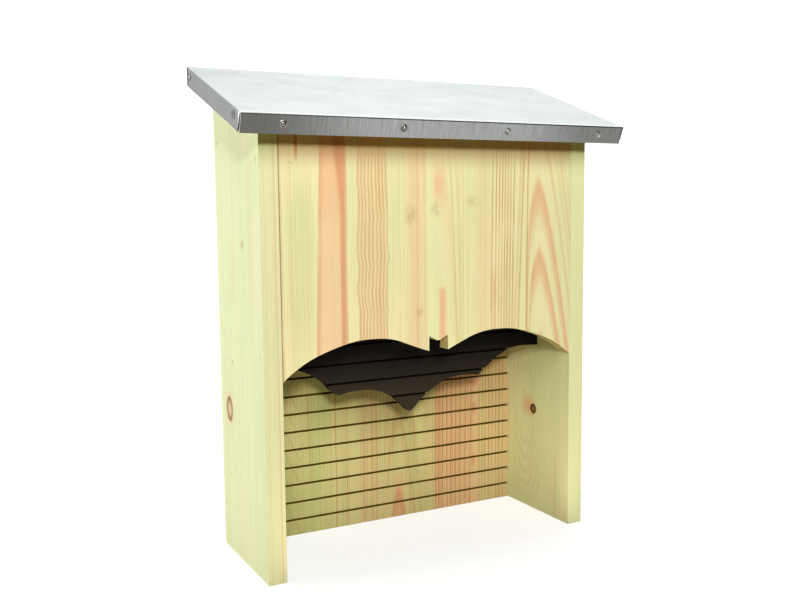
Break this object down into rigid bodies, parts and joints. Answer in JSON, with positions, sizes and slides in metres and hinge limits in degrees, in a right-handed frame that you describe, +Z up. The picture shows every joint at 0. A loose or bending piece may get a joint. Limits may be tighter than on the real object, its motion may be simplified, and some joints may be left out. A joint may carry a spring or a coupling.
{
  "type": "bat box",
  "caption": "Wooden bat box, open below, with a bat-shaped opening cut in the front board and a dark inner partition, level saw grooves inside and a sloping sheet metal roof.",
  "frame": {"origin": "middle of the footprint at the level of the sides' lower ends, halfway between the roof's front edge and the wall face", "axes": "+X to the right seen from the front, +Y towards the wall, +Z up; the front faces -Y"},
  "size_m": [0.418, 0.1632, 0.4891],
  "materials": {
    "treated_pine": "pale green-yellow pressure-treated pine, planed, unvarnished",
    "dark_pine": "pine stained nearly black, matt",
    "zinc_sheet": "bright galvanised sheet with a faint mottle, brushed on the flanges",
    "roof_nails": "plain steel, slightly polished heads",
    "staple_wire": "dull galvanised wire",
    "hanger_steel": "zinc-plated steel plate and screws"
  },
  "bodies": {
    "root": {"left_side": "treated_pine", "right_side": "treated_pine", "back_board": "treated_pine", "front_board": "treated_pine", "front_rail": "treated_pine", "roof_board": "treated_pine", "partition_board": "dark_pine", "roof_cover": "zinc_sheet", "front_roof_nail_1": "roof_nails", "front_roof_nail_2": "roof_nails", "front_roof_nail_3": "roof_nails", "front_roof_nail_4": "roof_nails", "left_roof_nail_1": "roof_nails", "left_roof_nail_2": "roof_nails", "right_roof_nail_1": "roof_nails", "right_roof_nail_2": "roof_nails", "left_deck_nail_1": "roof_nails", "left_deck_nail_2": "roof_nails", "right_deck_nail_1": "roof_nails", "right_deck_nail_2": "roof_nails", "front_staple_1": "staple_wire", "front_staple_2": "staple_wire", "front_staple_3": "staple_wire", "left_staple_1": "staple_wire", "left_staple_2": "staple_wire", "left_staple_3": "staple_wire", "left_staple_4": "staple_wire", "left_staple_5": "staple_wire", "right_staple_1": "staple_wire", "right_staple_2": "staple_wire", "right_staple_3": "staple_wire", "right_staple_4": "staple_wire", "right_staple_5": "staple_wire", "hanger_plate_1": "hanger_steel", "hanger_plate_2": "hanger_steel", "hanger_screw_1": "hanger_steel", "hanger_screw_2": "hanger_steel", "hanger_screw_3": "hanger_steel", "hanger_screw_4": "hanger_steel"}
  },
  "joints": []
}
